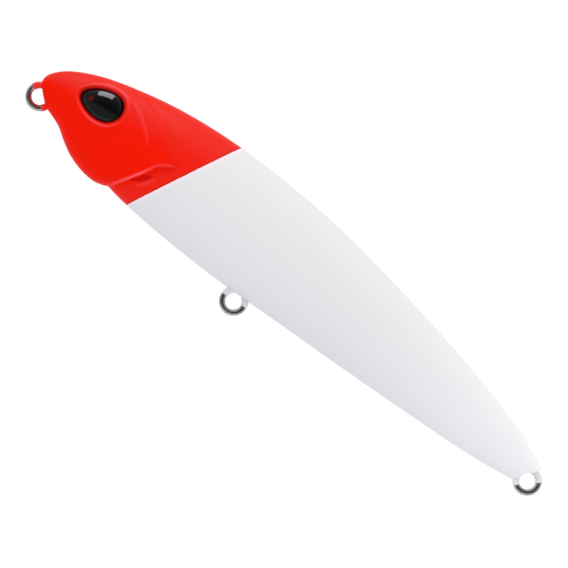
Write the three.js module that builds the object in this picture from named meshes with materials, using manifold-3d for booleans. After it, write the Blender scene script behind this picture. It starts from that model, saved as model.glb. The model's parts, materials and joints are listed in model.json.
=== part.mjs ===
// A topwater lure with a slanted mouth face: two moulded shell halves on three wire ring eyes,
// with domed eyes, steel ballast balls in the tail and loose balls that knock and rattle.
// Millimetres. +X runs from nose to tail, +Z is up to the back, and -Y is the left flank.
// The origin is the centre of the line tie's ring at the nose.

import * as THREE from 'three';
import { ParametricGeometry } from 'three/addons/geometries/ParametricGeometry.js';
import { mergeVertices } from 'three/addons/utils/BufferGeometryUtils.js';
import Module from 'manifold-3d';

const wasm = await Module();
wasm.setup();

// ---- driving dimensions ----------------------------------------------------------------

const BODY_LENGTH = 100;          // snout tip to the upper corner of the tail face
const BODY_DEPTH = 18.96;         // belly to back at the deepest station
const BODY_WIDTH = 15.1;          // flank to flank at the widest station
const SNOUT_TIP = -1.28;          // the snout tip lies this far in front of the ring's centre
const SECTION_POWER = 2.25;       // 2 is an ellipse, more is flatter on the flanks
const WALL = 1.3;                 // shell wall
const RIB = 1.2;                  // ribs, webs and the walls round pockets
const RIB_PITCH = 10;             // most that two ribs lie apart
const CLEARANCE = 0.3;            // round everything that is seated in the shell

const WIRE_DIAMETER = 1.0;        // the wire of the three ring eyes
const RING_BORE = 2.64;           // inside of a ring eye
const LOOP_SPACING = 5.0;         // ring centre to the centre of its loop inside the body
const STRAND_GAP = 0.1;           // between the two strands where they cross side by side
const TUCK_ANGLE = 40;            // degrees that the wire's end lies on beside its loop

const MOUTH_TILT = 48;            // degrees from upright that the mouth face leans back
const MOUTH_SETBACK = 0.55;       // ring centre to the mouth face
const MOUTH_CUP_RADIUS = 1.3;
const MOUTH_CUP_DEPTH = 0.5;
const BELLY_RING_DROP = 1.26;     // belly line to the centre of the belly ring
const TAIL_SHANK_TILT = 18.5;     // degrees that the tail wire climbs towards the nose
const TAIL_FACE_TILT = 33.3;      // degrees from upright that the tail face leans
const TAIL_RING_OUT = 0.97;       // tail face to the centre of the tail ring
const TAIL_RING_SHARE = 0.37;     // height of that ring's foot on the tail face, from the belly

const EYE_LENGTH = 7.25;
const EYE_HEIGHT = 5.0;
const EYE_POINT = 0.22;           // how much narrower the front end of the eye is
const EYE_TILT = 8;               // degrees that the rear end of the eye is raised
const EYE_DEPTH = 1.9;            // flat floor of the eye socket below the flank
const FILM_THICKNESS = 0.3;
const DOME_EDGE = 0.4;            // straight edge of the clear dome
const DOME_RISE = 1.25;           // crown of the dome over its edge

const BALLAST_DIAMETERS = [7, 6, 5];   // from the front one to the tail one
const KNOCKER_DIAMETER = 6;
const RATTLE_DIAMETER = 3;
const RATTLE_COUNT = 3;
const RATTLE_TRAVEL = 3;          // each way from the middle
const PIN_DIAMETER = 2;           // locating pins on the left half
const PIN_LENGTH = 2;
const BALL_SEGMENTS = 14;
const BALL_RINGS = 9;
const WIRE_SIDES = 8;
const WIRE_STEPS = 48;
const GROOVE_STEPS = 14;
const TUCK_STEPS = 3;
const CROWN_STEPS = 6;
const CHAMBER_ROWS = 2;
const WELD_GAP = 1e-4;            // corners closer than this are one corner
const EYE_SEGMENTS = 24;
const BODY_SIDES = 24;
const CHAMBER_SIDES = 16;
const HEAD_ROWS = 17;
const REAR_ROWS = 19;

// Stations along the body as shares of its length, from the snout tip.
const GILL_STATION = 0.1848;
const EYE_STATION = 0.0973;
const BELLY_RING_STATION = 0.453;
const TAIL_OVERRUN = 0.03;        // the form runs on past the tail face, which trims it

// Heights as shares of the body's height at their own station, from the belly up.
const EYE_SHARE = 0.675;
const RATTLE_SHARE = 0.34;

// Back, underside and half width: [share of the length, share of the depth or half width],
// with heights measured from the ring's centre. Each line is smooth between its points.
const BACK = [
  [0, 0.137], [0.007, 0.228], [0.0266, 0.326], [0.0462, 0.389], [0.0855, 0.481],
  [0.125, 0.546], [0.203, 0.641], [0.282, 0.694], [0.361, 0.7125], [0.42, 0.7075],
  [0.498, 0.69], [0.655, 0.589], [0.813, 0.4455], [0.891, 0.35], [0.957, 0.248], [1, 0.148],
];
const CHIN = [
  [0, 0.137], [0.001, 0.092], [0.003, 0.058], [0.008, 0.026], [0.018, -0.006],
  [0.028, -0.033], [0.0462, -0.064], [0.0659, -0.102], [0.0855, -0.167], [0.105, -0.2215],
  [0.125, -0.257], [0.1445, -0.276], [0.164, -0.275], [0.176, -0.257], [0.1848, -0.236],
];
const BELLY = [
  [0.1848, -0.236], [0.203, -0.251], [0.243, -0.269], [0.341, -0.287], [0.42, -0.2815],
  [0.518, -0.253], [0.636, -0.2215], [0.754, -0.182], [0.911, -0.115], [1, -0.042],
];
const HALF_WIDTH = [
  [0, 0], [0.001, 0.13], [0.003, 0.21], [0.0128, 0.34], [0.037, 0.47], [0.063, 0.57],
  [0.113, 0.735], [0.163, 0.85], [0.213, 0.93], [0.283, 0.99], [0.363, 1], [0.513, 0.965],
  [0.663, 0.85], [0.813, 0.66], [0.913, 0.47], [1, 0.27],
];

// ---- the body's form -------------------------------------------------------------------

// A smooth line through points, in the root of the share, so that it starts square to X.
function smoothLine(points) {
  const along = points.map(([share]) => Math.sqrt(share));
  const value = points.map(([, height]) => height);
  const rise = along.slice(1).map((a, i) => (value[i + 1] - value[i]) / (a - along[i]));
  const slope = along.map((a, i) => {
    if (i === 0) return rise[0];
    if (i === along.length - 1) return rise[i - 1];
    const before = a - along[i - 1];
    const after = along[i + 1] - a;
    return (rise[i - 1] * after + rise[i] * before) / (before + after);
  });
  const last = along.length - 1;
  return share => {
    const a = Math.sqrt(Math.max(share, 0));
    if (a >= along[last]) return value[last] + slope[last] * (a - along[last]);
    const i = Math.max(along.findIndex(end => end > a) - 1, 0);
    const span = along[i + 1] - along[i];
    const t = (a - along[i]) / span;
    const hermite = [
      (1 + 2 * t) * (1 - t) ** 2 * value[i],
      t * (1 - t) ** 2 * slope[i] * span,
      t * t * (3 - 2 * t) * value[i + 1],
      t * t * (t - 1) * slope[i + 1] * span,
    ];
    return hermite.reduce((sum, term) => sum + term, 0);
  };
}

const backLine = smoothLine(BACK);
const chinLine = smoothLine(CHIN);
const bellyLine = smoothLine(BELLY);
const widthLine = smoothLine(HALF_WIDTH);

const xAt = share => SNOUT_TIP + share * BODY_LENGTH;
const shareAt = x => (x - SNOUT_TIP) / BODY_LENGTH;
const backAt = x => backLine(shareAt(x)) * BODY_DEPTH;
const halfWidthAt = x => widthLine(shareAt(x)) * BODY_WIDTH / 2;

function undersideAt(x) {
  const share = shareAt(x);
  const line = share < GILL_STATION ? chinLine : bellyLine;
  return line(share) * BODY_DEPTH;
}

const signedPower = (value, power) => Math.sign(value) * Math.abs(value) ** power;

// The point at an angle round the section at x, moved in from the surface by inset.
function sectionPoint(x, angle, inset, target) {
  const top = backAt(x) - inset;
  const bottom = undersideAt(x) + inset;
  const power = 2 / SECTION_POWER;
  const across = Math.abs(Math.cos(angle)) < WELD_GAP ? 0 : Math.cos(angle);
  const y = Math.max(halfWidthAt(x) - inset, 0) * signedPower(across, power);
  const z = (top + bottom) / 2 + (top - bottom) / 2 * signedPower(Math.sin(angle), power);
  return target.set(x, y, z);
}

// A closed solid through the sections at the given places along the body, with flat ends.
function loft(stations, sides, inset) {
  const rows = stations.length + 1;
  const centre = new THREE.Vector3();
  const opposite = new THREE.Vector3();
  const point = (u, v, target) => {
    const row = Math.round(v * rows);
    const x = stations[Math.min(Math.max(row - 1, 0), stations.length - 1)];
    sectionPoint(x, u * 2 * Math.PI, inset, target);
    if (row === 0 || row === rows) {
      sectionPoint(x, Math.PI / 2, inset, centre);
      sectionPoint(x, -Math.PI / 2, inset, opposite);
      target.copy(centre).add(opposite).multiplyScalar(0.5);
    }
  };
  return new ParametricGeometry(point, sides, rows);
}

const evenly = (from, to, count) =>
  Array.from({ length: count + 1 }, (_, i) => from + (to - from) * i / count);

// ---- solids ----------------------------------------------------------------------------

// A welded, indexed copy that holds positions only, without triangles of no area.
function welded(geometry) {
  const bare = geometry.clone();
  bare.deleteAttribute('normal');
  bare.deleteAttribute('uv');
  const merged = mergeVertices(bare, WELD_GAP);
  const index = [];
  for (let i = 0; i < merged.index.count; i += 3) {
    const corners = [0, 1, 2].map(k => merged.index.getX(i + k));
    if (new Set(corners).size === 3) index.push(...corners);
  }
  merged.setIndex(index);
  return merged;
}

function toSolid(geometry) {
  const closed = welded(geometry);
  return new wasm.Manifold(new wasm.Mesh({
    numProp: 3,
    vertProperties: new Float32Array(closed.attributes.position.array),
    triVerts: new Uint32Array(closed.index.array),
  }));
}

function toGeometry(solid) {
  const mesh = solid.getMesh();
  const geometry = new THREE.BufferGeometry();
  geometry.setAttribute('position', new THREE.BufferAttribute(mesh.vertProperties, 3));
  geometry.setIndex(new THREE.BufferAttribute(mesh.triVerts, 1));
  return geometry;
}

// The same shape on the other side of the lure's middle plane.
function mirrored(geometry) {
  const copy = welded(geometry);
  copy.scale(1, -1, 1);
  const corners = copy.index.array;
  for (let i = 0; i < corners.length; i += 3) {
    [corners[i], corners[i + 1]] = [corners[i + 1], corners[i]];
  }
  return copy;
}

function box(low, high) {
  const size = high.clone().sub(low);
  const centre = high.clone().add(low).multiplyScalar(0.5);
  return new THREE.BoxGeometry(size.x, size.y, size.z).translate(centre.x, centre.y, centre.z);
}

// A round bar across the lure, from one y to another.
function crossBar(x, z, radius, from, to) {
  return new THREE.CylinderGeometry(radius, radius, to - from, BALL_SEGMENTS)
    .translate(x, (from + to) / 2, z);
}

const ball = (centre, radius) => new THREE.SphereGeometry(radius, BALL_SEGMENTS, BALL_RINGS)
  .translate(centre.x, centre.y, centre.z);

const REACH = BODY_LENGTH * 2;    // larger than anything here, for cutting blocks

// ---- wire ring eyes --------------------------------------------------------------------

const LOOP_RADIUS = (RING_BORE + WIRE_DIAMETER) / 2;
const STRAND_OFFSET = (WIRE_DIAMETER + STRAND_GAP) / 2;
const TANGENT_ANGLE = Math.acos(2 * LOOP_RADIUS / LOOP_SPACING);
const LOOP_REACH = LOOP_RADIUS + WIRE_DIAMETER / 2 + CLEARANCE;

// An arc in the XZ plane that may drift sideways in Y.
class Bend extends THREE.Curve {
  constructor(centre, radius, from, to, yFrom, yTo) {
    super();
    Object.assign(this, { centre, radius, from, to, yFrom, yTo });
  }

  getPoint(t, target = new THREE.Vector3()) {
    const angle = this.from + (this.to - this.from) * t;
    const drift = THREE.MathUtils.smoothstep(t, 0, 1);
    return target.set(
      this.centre.x + this.radius * Math.cos(angle),
      this.yFrom + (this.yTo - this.yFrom) * drift,
      this.centre.z + this.radius * Math.sin(angle),
    );
  }
}

// One wire bent into a figure of eight: a ring outside and a loop inside the body, with the
// wire's end tucked beside the loop. inward is the angle in the XZ plane from the ring's
// centre to the loop's centre.
function wireRoute(ring, inward) {
  const loop = new THREE.Vector3(
    ring.x + LOOP_SPACING * Math.cos(inward), 0, ring.z + LOOP_SPACING * Math.sin(inward),
  );
  const outward = inward + Math.PI;
  const turn = 2 * Math.PI;
  const side = STRAND_OFFSET;
  const tuckEnd = outward + TANGENT_ANGLE + THREE.MathUtils.degToRad(TUCK_ANGLE);
  const bend = (centre, from, to, yFrom, yTo) =>
    new Bend(centre, LOOP_RADIUS, from, to, yFrom, yTo);
  return {
    loopCentre: loop,
    ringCentre: ring,
    loop: bend(loop, outward + TANGENT_ANGLE, outward + turn - TANGENT_ANGLE, side, side),
    ring: bend(ring, inward + turn - TANGENT_ANGLE, inward + TANGENT_ANGLE, side, -side),
    tuck: bend(loop, outward + TANGENT_ANGLE, tuckEnd, -side, -side),
  };
}

function wirePath({ loop, ring, tuck }) {
  const path = new THREE.CurvePath();
  const strandOut = new THREE.LineCurve3(loop.getPoint(1), ring.getPoint(0));
  const strandBack = new THREE.LineCurve3(ring.getPoint(1), tuck.getPoint(0));
  [loop, strandOut, ring, strandBack, tuck].forEach(curve => path.add(curve));
  return path;
}

function roundSection(radius) {
  const corners = Array.from({ length: WIRE_SIDES }, (_, i) => {
    const angle = i * 2 * Math.PI / WIRE_SIDES;
    return new THREE.Vector2(radius * Math.cos(angle), radius * Math.sin(angle));
  });
  return new THREE.Shape(corners);
}

const alongCurve = (curve, radius, steps) => new THREE.ExtrudeGeometry(
  roundSection(radius), { steps, bevelEnabled: false, extrudePath: curve },
);

const wireGeometry = route => alongCurve(wirePath(route), WIRE_DIAMETER / 2, WIRE_STEPS);

// What the shell gives up for a wire: each stretch made wider and a little longer.
function wireGrooves({ loop, ring, tuck }) {
  const radius = (WIRE_DIAMETER / 2 + CLEARANCE) / Math.cos(Math.PI / WIRE_SIDES);
  const extra = CLEARANCE / LOOP_RADIUS;
  const widened = b => {
    const way = Math.sign(b.to - b.from);
    return new Bend(b.centre, b.radius, b.from - way * extra, b.to + way * extra, b.yFrom, b.yTo);
  };
  const lengthened = (start, end) => {
    const step = end.clone().sub(start).normalize().multiplyScalar(CLEARANCE);
    return new THREE.LineCurve3(start.clone().sub(step), end.clone().add(step));
  };
  const curves = [
    [widened(loop), GROOVE_STEPS], [widened(ring), GROOVE_STEPS], [widened(tuck), TUCK_STEPS],
    [lengthened(loop.getPoint(1), ring.getPoint(0)), 1],
    [lengthened(ring.getPoint(1), tuck.getPoint(0)), 1],
  ];
  return curves.map(([curve, steps]) => toSolid(alongCurve(curve, radius, steps)));
}

// A block that takes away all that lies beyond a slanted face through a point.
function cuttingBlock(point, angle) {
  return new THREE.BoxGeometry(REACH, REACH, REACH)
    .translate(REACH / 2, 0, 0)
    .rotateY(-angle)
    .translate(point.x, 0, point.z);
}

const mouthOut = THREE.MathUtils.degToRad(180 + MOUTH_TILT);
const mouthCentre = new THREE.Vector3(-Math.cos(mouthOut), 0, -Math.sin(mouthOut))
  .multiplyScalar(MOUTH_SETBACK);
const tailLean = THREE.MathUtils.degToRad(TAIL_FACE_TILT);
const tailOut = new THREE.Vector3(Math.cos(tailLean), 0, -Math.sin(tailLean));
const tailTop = new THREE.Vector3(xAt(1), 0, backAt(xAt(1)));
const tailFootHeight = THREE.MathUtils.lerp(undersideAt(tailTop.x), tailTop.z, TAIL_RING_SHARE);
const tailFoot = new THREE.Vector3(
  tailTop.x - (tailTop.z - tailFootHeight) * Math.tan(tailLean), 0, tailFootHeight,
);

const lineTie = wireRoute(new THREE.Vector3(), mouthOut - Math.PI);
const bellyX = xAt(BELLY_RING_STATION);
const bellyRing = new THREE.Vector3(bellyX, 0, undersideAt(bellyX) - BELLY_RING_DROP);
const bellyHanger = wireRoute(bellyRing, Math.PI / 2);
const tailRing = tailFoot.clone().addScaledVector(tailOut, TAIL_RING_OUT);
const tailHanger = wireRoute(tailRing, Math.PI - THREE.MathUtils.degToRad(TAIL_SHANK_TILT));
const wires = {
  line_tie_wire: lineTie,
  belly_hook_hanger: bellyHanger,
  tail_hook_hanger: tailHanger,
};

// ---- eyes ------------------------------------------------------------------------------

// How far the flank lies from the middle plane at a place on the body.
function flankAt(x, z) {
  const top = backAt(x);
  const bottom = undersideAt(x);
  const height = Math.abs(2 * z - top - bottom) / (top - bottom);
  return halfWidthAt(x) * (1 - height ** SECTION_POWER) ** (1 / SECTION_POWER);
}

// The left eye's seat: the flat floor of its socket, with X along the eye towards the tail
// and Z out of the flank.
function eyeSeat() {
  const x = xAt(EYE_STATION);
  const z = THREE.MathUtils.lerp(undersideAt(x), backAt(x), EYE_SHARE);
  const step = WALL / 10;
  const slopeX = (flankAt(x + step, z) - flankAt(x - step, z)) / (2 * step);
  const slopeZ = (flankAt(x, z + step) - flankAt(x, z - step)) / (2 * step);
  const out = new THREE.Vector3(-slopeX, -1, -slopeZ).normalize();
  const tilt = THREE.MathUtils.degToRad(EYE_TILT);
  const along = new THREE.Vector3(Math.cos(tilt), 0, Math.sin(tilt));
  along.addScaledVector(out, -along.dot(out)).normalize();
  const up = new THREE.Vector3().crossVectors(out, along);
  const floor = new THREE.Vector3(x, -flankAt(x, z), z).addScaledVector(out, -EYE_DEPTH);
  return new THREE.Matrix4().makeBasis(along, up, out).setPosition(floor);
}

// Stretches a shape of radius 1 about Z to the eye's egg outline, grown by margin.
function toEgg(geometry, margin) {
  const position = geometry.attributes.position;
  for (let i = 0; i < position.count; i += 1) {
    const x = position.getX(i);
    const narrowing = 1 + EYE_POINT * x;
    position.setX(i, x * (EYE_LENGTH / 2 + margin));
    position.setY(i, position.getY(i) * (EYE_HEIGHT / 2 + margin) * narrowing);
  }
  return geometry;
}

function eggPlate(margin, low, high) {
  const plate = new THREE.CylinderGeometry(1, 1, high - low, EYE_SEGMENTS)
    .rotateX(Math.PI / 2)
    .translate(0, 0, (low + high) / 2);
  return toEgg(plate, margin).applyMatrix4(eyeSeat());
}

function eyeDome() {
  const base = CLEARANCE + FILM_THICKNESS + CLEARANCE;
  const crown = evenly(0, Math.PI / 2, CROWN_STEPS).map(angle =>
    new THREE.Vector2(Math.cos(angle), base + DOME_EDGE + DOME_RISE * Math.sin(angle)));
  crown[crown.length - 1].x = 0;
  const profile = [new THREE.Vector2(0, base), new THREE.Vector2(1, base), ...crown];
  const dome = new THREE.LatheGeometry(profile, EYE_SEGMENTS).rotateX(Math.PI / 2);
  return toEgg(dome, 0).applyMatrix4(eyeSeat());
}

const eyeFilm = () => eggPlate(0, CLEARANCE, CLEARANCE + FILM_THICKNESS);
const eyeSocket = () => eggPlate(CLEARANCE, 0, BODY_WIDTH);
const eyeCup = () => eggPlate(CLEARANCE + RIB, -RIB, BODY_WIDTH);

// ---- what the shell holds --------------------------------------------------------------

// A shape and its mirror image as one solid.
const bothSides = geometry => toSolid(geometry).add(toSolid(mirrored(geometry)));

// Ballast balls lie in a row on the belly wall, packed forward from the tail wire's loop.
function ballastRow() {
  let rear = tailHanger.loopCentre.x - LOOP_REACH;
  const row = [...BALLAST_DIAMETERS].reverse().map(diameter => {
    const pocket = diameter / 2 + CLEARANCE;
    const x = rear - RIB - pocket;
    rear = x - pocket;
    const z = undersideAt(x + pocket) + WALL + pocket;
    return { centre: new THREE.Vector3(x, 0, z), radius: diameter / 2, pocket };
  });
  return row.reverse();
}

const ballast = ballastRow();
const cradleFront = ballast[0].centre.x - ballast[0].pocket - RIB;
const bellyBlock = [bellyX - LOOP_REACH - RIB, bellyX + LOOP_REACH + RIB];
const lineTieBlockEnd = lineTie.loopCentre.x + LOOP_REACH + RIB;

// The knocker's channel runs level from the belly hanger to the ballast.
const channelRadius = KNOCKER_DIAMETER / 2 + CLEARANCE;
const channelHeight = undersideAt(cradleFront) + WALL + channelRadius;
const knockerRest = new THREE.Vector3(cradleFront - channelRadius, 0, channelHeight);

// The rattle cells are bores across the body, in front of the belly hanger.
const cellRadius = RATTLE_DIAMETER / 2 + CLEARANCE;
const cellReach = RATTLE_TRAVEL + cellRadius;
const cells = Array.from({ length: RATTLE_COUNT }, (_, i) => {
  const x = bellyBlock[0] - cellRadius - i * (2 * cellRadius + RIB);
  const z = THREE.MathUtils.lerp(undersideAt(bellyX), backAt(bellyX), RATTLE_SHARE);
  return new THREE.Vector3(x, 0, z);
}).reverse();
const rattleFront = cells[0].x - cellRadius - RIB;

// Air chambers: stretches of the body over what they must leave solid.
const stretches = [
  { from: lineTieBlockEnd, to: rattleFront, floor: -REACH },
  { from: rattleFront, to: bellyBlock[0], floor: cells[0].z + cellRadius + RIB },
  { from: bellyBlock[0], to: bellyBlock[1], floor: bellyHanger.loopCentre.z + LOOP_REACH + RIB },
  { from: bellyBlock[1], to: cradleFront, floor: channelHeight + channelRadius + RIB },
];

function airChambers({ from, to, floor }) {
  const count = Math.ceil((to - from) / RIB_PITCH);
  const below = toSolid(box(
    new THREE.Vector3(-REACH, -REACH, -2 * REACH), new THREE.Vector3(REACH, REACH, floor),
  ));
  return evenly(from, to, count).slice(1).map(end => {
    const start = end - (to - from) / count;
    return toSolid(loft(evenly(start, end - RIB, CHAMBER_ROWS), CHAMBER_SIDES, WALL)).subtract(below);
  });
}

// Locating pins stand in bosses on the ribs: place along the body, share of the height there.
const ribBetween = ({ from, to }) => from + (to - from) / Math.ceil((to - from) / RIB_PITCH);
const pins = [
  [ribBetween(stretches[0]) - RIB / 2, 0.8],
  [ribBetween(stretches[0]) - RIB / 2, 0.2],
  [bellyBlock[0] - RIB / 2, 0.8],
  [(ballast[0].centre.x + ballast[1].centre.x) / 2, 0.82],
].map(([x, share]) => ({ x, z: THREE.MathUtils.lerp(undersideAt(x), backAt(x), share) }));

// ---- shell halves ----------------------------------------------------------------------

const union = solids => solids.reduce((whole, solid) => whole.add(solid));

function outerBody() {
  const headRows = evenly(0, 1, HEAD_ROWS).map(t => xAt(GILL_STATION * t * t));
  const rearRows = evenly(GILL_STATION, 1 + TAIL_OVERRUN, REAR_ROWS).slice(1).map(xAt);
  const block = toSolid(loft([...headRows, ...rearRows], BODY_SIDES, 0));
  const cupRadius = (MOUTH_CUP_RADIUS ** 2 + MOUTH_CUP_DEPTH ** 2) / (2 * MOUTH_CUP_DEPTH);
  const cupCentre = mouthCentre.clone().multiplyScalar(
    (MOUTH_SETBACK + MOUTH_CUP_DEPTH - cupRadius) / MOUTH_SETBACK,
  );
  return block
    .subtract(toSolid(cuttingBlock(mouthCentre, mouthOut)))
    .subtract(toSolid(cuttingBlock(tailTop, -tailLean)))
    .subtract(toSolid(ball(cupCentre, cupRadius)));
}

function hollows() {
  const bosses = pins.map(({ x, z }) =>
    toSolid(crossBar(x, z, PIN_DIAMETER / 2 + CLEARANCE + RIB, -BODY_WIDTH, BODY_WIDTH)));
  const kept = union([bothSides(eyeCup()), ...bosses]);
  const air = union(stretches.flatMap(airChambers)).subtract(kept);
  const channel = new THREE.CylinderGeometry(
    channelRadius, channelRadius, cradleFront - bellyBlock[1], BALL_SEGMENTS,
  ).rotateZ(Math.PI / 2).translate((cradleFront + bellyBlock[1]) / 2, 0, channelHeight);
  const pockets = [
    ...ballast.map(({ centre, pocket }) => toSolid(ball(centre, pocket))),
    ...cells.map(({ x, z }) => toSolid(crossBar(x, z, cellRadius, -cellReach, cellReach))),
    ...Object.values(wires).flatMap(wireGrooves),
    bothSides(eyeSocket()),
    toSolid(channel),
  ];
  return union([air, ...pockets]);
}

const shell = outerBody().subtract(hollows());

function shellHalf(side) {
  const low = new THREE.Vector3(-REACH, Math.min(side, 0) * REACH, -REACH);
  const high = new THREE.Vector3(REACH, Math.max(side, 0) * REACH, REACH);
  const half = shell.intersect(toSolid(box(low, high)));
  const bars = pins.map(({ x, z }) => (side < 0
    ? crossBar(x, z, PIN_DIAMETER / 2, -RIB, PIN_LENGTH)
    : crossBar(x, z, PIN_DIAMETER / 2 + CLEARANCE, -RIB, PIN_LENGTH + CLEARANCE)));
  const fitted = union(bars.map(toSolid));
  return toGeometry(side < 0 ? half.add(fitted) : half.subtract(fitted));
}

// ---- the lure --------------------------------------------------------------------------

const finish = (color, roughness, metalness) => ({ color, roughness, metalness });
const PAINTED_SHELL = finish(0xe9e9ed, 0.25, 0);
const STEEL_WIRE = finish(0xb9bcc0, 0.2, 1);
const BLACK_FILM = finish(0x0c0c0d, 0.5, 0);
const CLEAR_RESIN = finish(0x2a2a2c, 0.05, 0);
const BEARING_STEEL = finish(0xa8aab0, 0.3, 1);
const BRASS = finish(0xb08d3c, 0.35, 1);

const lure = new THREE.Group();

function addPiece(name, geometry, look) {
  const piece = new THREE.Mesh(welded(geometry), new THREE.MeshStandardMaterial(look));
  piece.name = name;
  lure.add(piece);
  return piece;
}

addPiece('shell_left', shellHalf(-1), PAINTED_SHELL);
addPiece('shell_right', shellHalf(1), PAINTED_SHELL);
Object.entries(wires).forEach(([name, route]) => addPiece(name, wireGeometry(route), STEEL_WIRE));
addPiece('eye_film_left', eyeFilm(), BLACK_FILM);
addPiece('eye_dome_left', eyeDome(), CLEAR_RESIN);
addPiece('eye_film_right', mirrored(eyeFilm()), BLACK_FILM);
addPiece('eye_dome_right', mirrored(eyeDome()), CLEAR_RESIN);

const origin = new THREE.Vector3();
ballast.forEach(({ centre, radius }, i) => {
  const piece = addPiece(`tail_ballast_ball_${i + 1}`, ball(origin, radius), BEARING_STEEL);
  piece.position.copy(centre);
});
cells.forEach((centre, i) => {
  const piece = addPiece(`rattle_ball_${i + 1}`, ball(origin, RATTLE_DIAMETER / 2), BEARING_STEEL);
  piece.position.copy(centre);
});
addPiece('knocker_ball', ball(origin, KNOCKER_DIAMETER / 2), BRASS).position.copy(knockerRest);

export default lure;
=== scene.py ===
"""The looks of the topwater lure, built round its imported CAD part.

The form is worked out in millimetres in the CAD frame and scaled to metres at the end:
+X runs from nose to tail, +Z is up to the back and -Y is the left flank.
"""

import json
import math

import bmesh
import bpy
import numpy as np
from mathutils import Matrix, Vector


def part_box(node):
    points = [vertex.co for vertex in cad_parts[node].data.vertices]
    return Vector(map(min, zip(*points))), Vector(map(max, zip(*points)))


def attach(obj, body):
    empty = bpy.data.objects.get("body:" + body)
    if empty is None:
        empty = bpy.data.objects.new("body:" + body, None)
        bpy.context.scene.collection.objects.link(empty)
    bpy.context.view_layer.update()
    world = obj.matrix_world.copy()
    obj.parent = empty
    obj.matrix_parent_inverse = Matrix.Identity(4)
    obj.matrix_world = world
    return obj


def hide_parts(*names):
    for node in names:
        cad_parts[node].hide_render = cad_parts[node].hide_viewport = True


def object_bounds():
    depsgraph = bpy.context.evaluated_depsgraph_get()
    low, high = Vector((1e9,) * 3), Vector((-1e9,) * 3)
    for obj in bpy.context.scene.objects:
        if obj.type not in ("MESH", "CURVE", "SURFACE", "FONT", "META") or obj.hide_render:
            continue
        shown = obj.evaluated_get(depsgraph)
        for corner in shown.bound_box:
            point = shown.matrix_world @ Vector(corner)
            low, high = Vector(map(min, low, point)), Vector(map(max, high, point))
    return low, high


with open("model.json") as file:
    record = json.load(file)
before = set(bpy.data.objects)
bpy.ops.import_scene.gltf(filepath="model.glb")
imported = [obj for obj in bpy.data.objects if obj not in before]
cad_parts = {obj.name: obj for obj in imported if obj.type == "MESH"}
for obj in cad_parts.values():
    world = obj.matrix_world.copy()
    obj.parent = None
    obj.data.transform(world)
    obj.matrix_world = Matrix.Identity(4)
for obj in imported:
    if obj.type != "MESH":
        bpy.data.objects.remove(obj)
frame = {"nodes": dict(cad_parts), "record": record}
CAD_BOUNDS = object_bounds()

MM = 0.001
record = frame["record"]


def cad_box(node):
    """A CAD node's lowest and highest corner in millimetres."""
    low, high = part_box(node)
    return np.array(low) / MM, np.array(high) / MM


# ---- sizes taken from the CAD ---------------------------------------------------------

SHELL_LOW, SHELL_HIGH = cad_box("shell_left")
SNOUT = SHELL_LOW[0]
LENGTH = SHELL_HIGH[0] - SNOUT
DEPTH = SHELL_HIGH[2] - SHELL_LOW[2]
HALF_WIDTH = -SHELL_LOW[1]
RING_CENTRES = {m["name"]: np.array(m["pos_m"]) / MM for m in record["mounts"]}
WIRE_RADIUS = 0.5
LOOP_RADIUS = 1.82
LOOP_SPACING = 5.0
STRAND_OFFSET = 0.55
SECTION_POWER = 2.25

# Back, underside and half width as in the CAD: shares of the length against shares of the
# depth, or of the half width.
BACK = [
    (0, 0.137), (0.007, 0.228), (0.0266, 0.326), (0.0462, 0.389), (0.0855, 0.481),
    (0.125, 0.546), (0.203, 0.641), (0.282, 0.694), (0.361, 0.7125), (0.42, 0.7075),
    (0.498, 0.69), (0.655, 0.589), (0.813, 0.4455), (0.891, 0.35), (0.957, 0.248), (1, 0.148),
]
CHIN = [
    (0, 0.137), (0.001, 0.092), (0.003, 0.058), (0.008, 0.026), (0.018, -0.006),
    (0.028, -0.033), (0.0462, -0.064), (0.0659, -0.102), (0.0855, -0.167), (0.105, -0.2215),
    (0.125, -0.257), (0.1445, -0.276), (0.164, -0.275), (0.176, -0.257), (0.1848, -0.236),
]
BELLY = [
    (0.1848, -0.236), (0.203, -0.251), (0.243, -0.269), (0.341, -0.287), (0.42, -0.2815),
    (0.518, -0.253), (0.636, -0.2215), (0.754, -0.182), (0.911, -0.115), (1, -0.042),
]
WIDTH = [
    (0, 0), (0.001, 0.13), (0.003, 0.21), (0.0128, 0.34), (0.037, 0.47), (0.063, 0.57),
    (0.113, 0.735), (0.163, 0.85), (0.213, 0.93), (0.283, 0.99), (0.363, 1), (0.513, 0.965),
    (0.663, 0.85), (0.813, 0.66), (0.913, 0.47), (1, 0.27),
]
GILL_STATION = 0.1848


def smooth_line(points):
    """A smooth line through points, in the root of the share, so it starts square to X."""
    along = np.sqrt([p[0] for p in points])
    value = np.array([p[1] for p in points], float)
    step = np.diff(along)
    rise = np.diff(value) / step
    slope = np.empty_like(value)
    slope[0], slope[-1] = rise[0], rise[-1]
    slope[1:-1] = (rise[:-1] * step[1:] + rise[1:] * step[:-1]) / (step[:-1] + step[1:])

    def at(share):
        a = np.sqrt(np.maximum(share, 0))
        i = np.clip(np.searchsorted(along, a, side="right") - 1, 0, len(step) - 1)
        span = step[i]
        t = np.minimum((a - along[i]) / span, 1)
        inside = (
            (1 + 2 * t) * (1 - t) ** 2 * value[i] + t * (1 - t) ** 2 * slope[i] * span
            + t * t * (3 - 2 * t) * value[i + 1] + t * t * (t - 1) * slope[i + 1] * span
        )
        return inside + slope[-1] * np.maximum(a - along[-1], 0)

    return at


back_line, chin_line, belly_line, width_line = map(smooth_line, (BACK, CHIN, BELLY, WIDTH))


def share_at(x):
    """How far along the body x lies, from 0 at the snout to 1 at the tail."""
    return (x - SNOUT) / LENGTH


def back_at(x):
    return back_line(share_at(x)) * DEPTH


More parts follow.
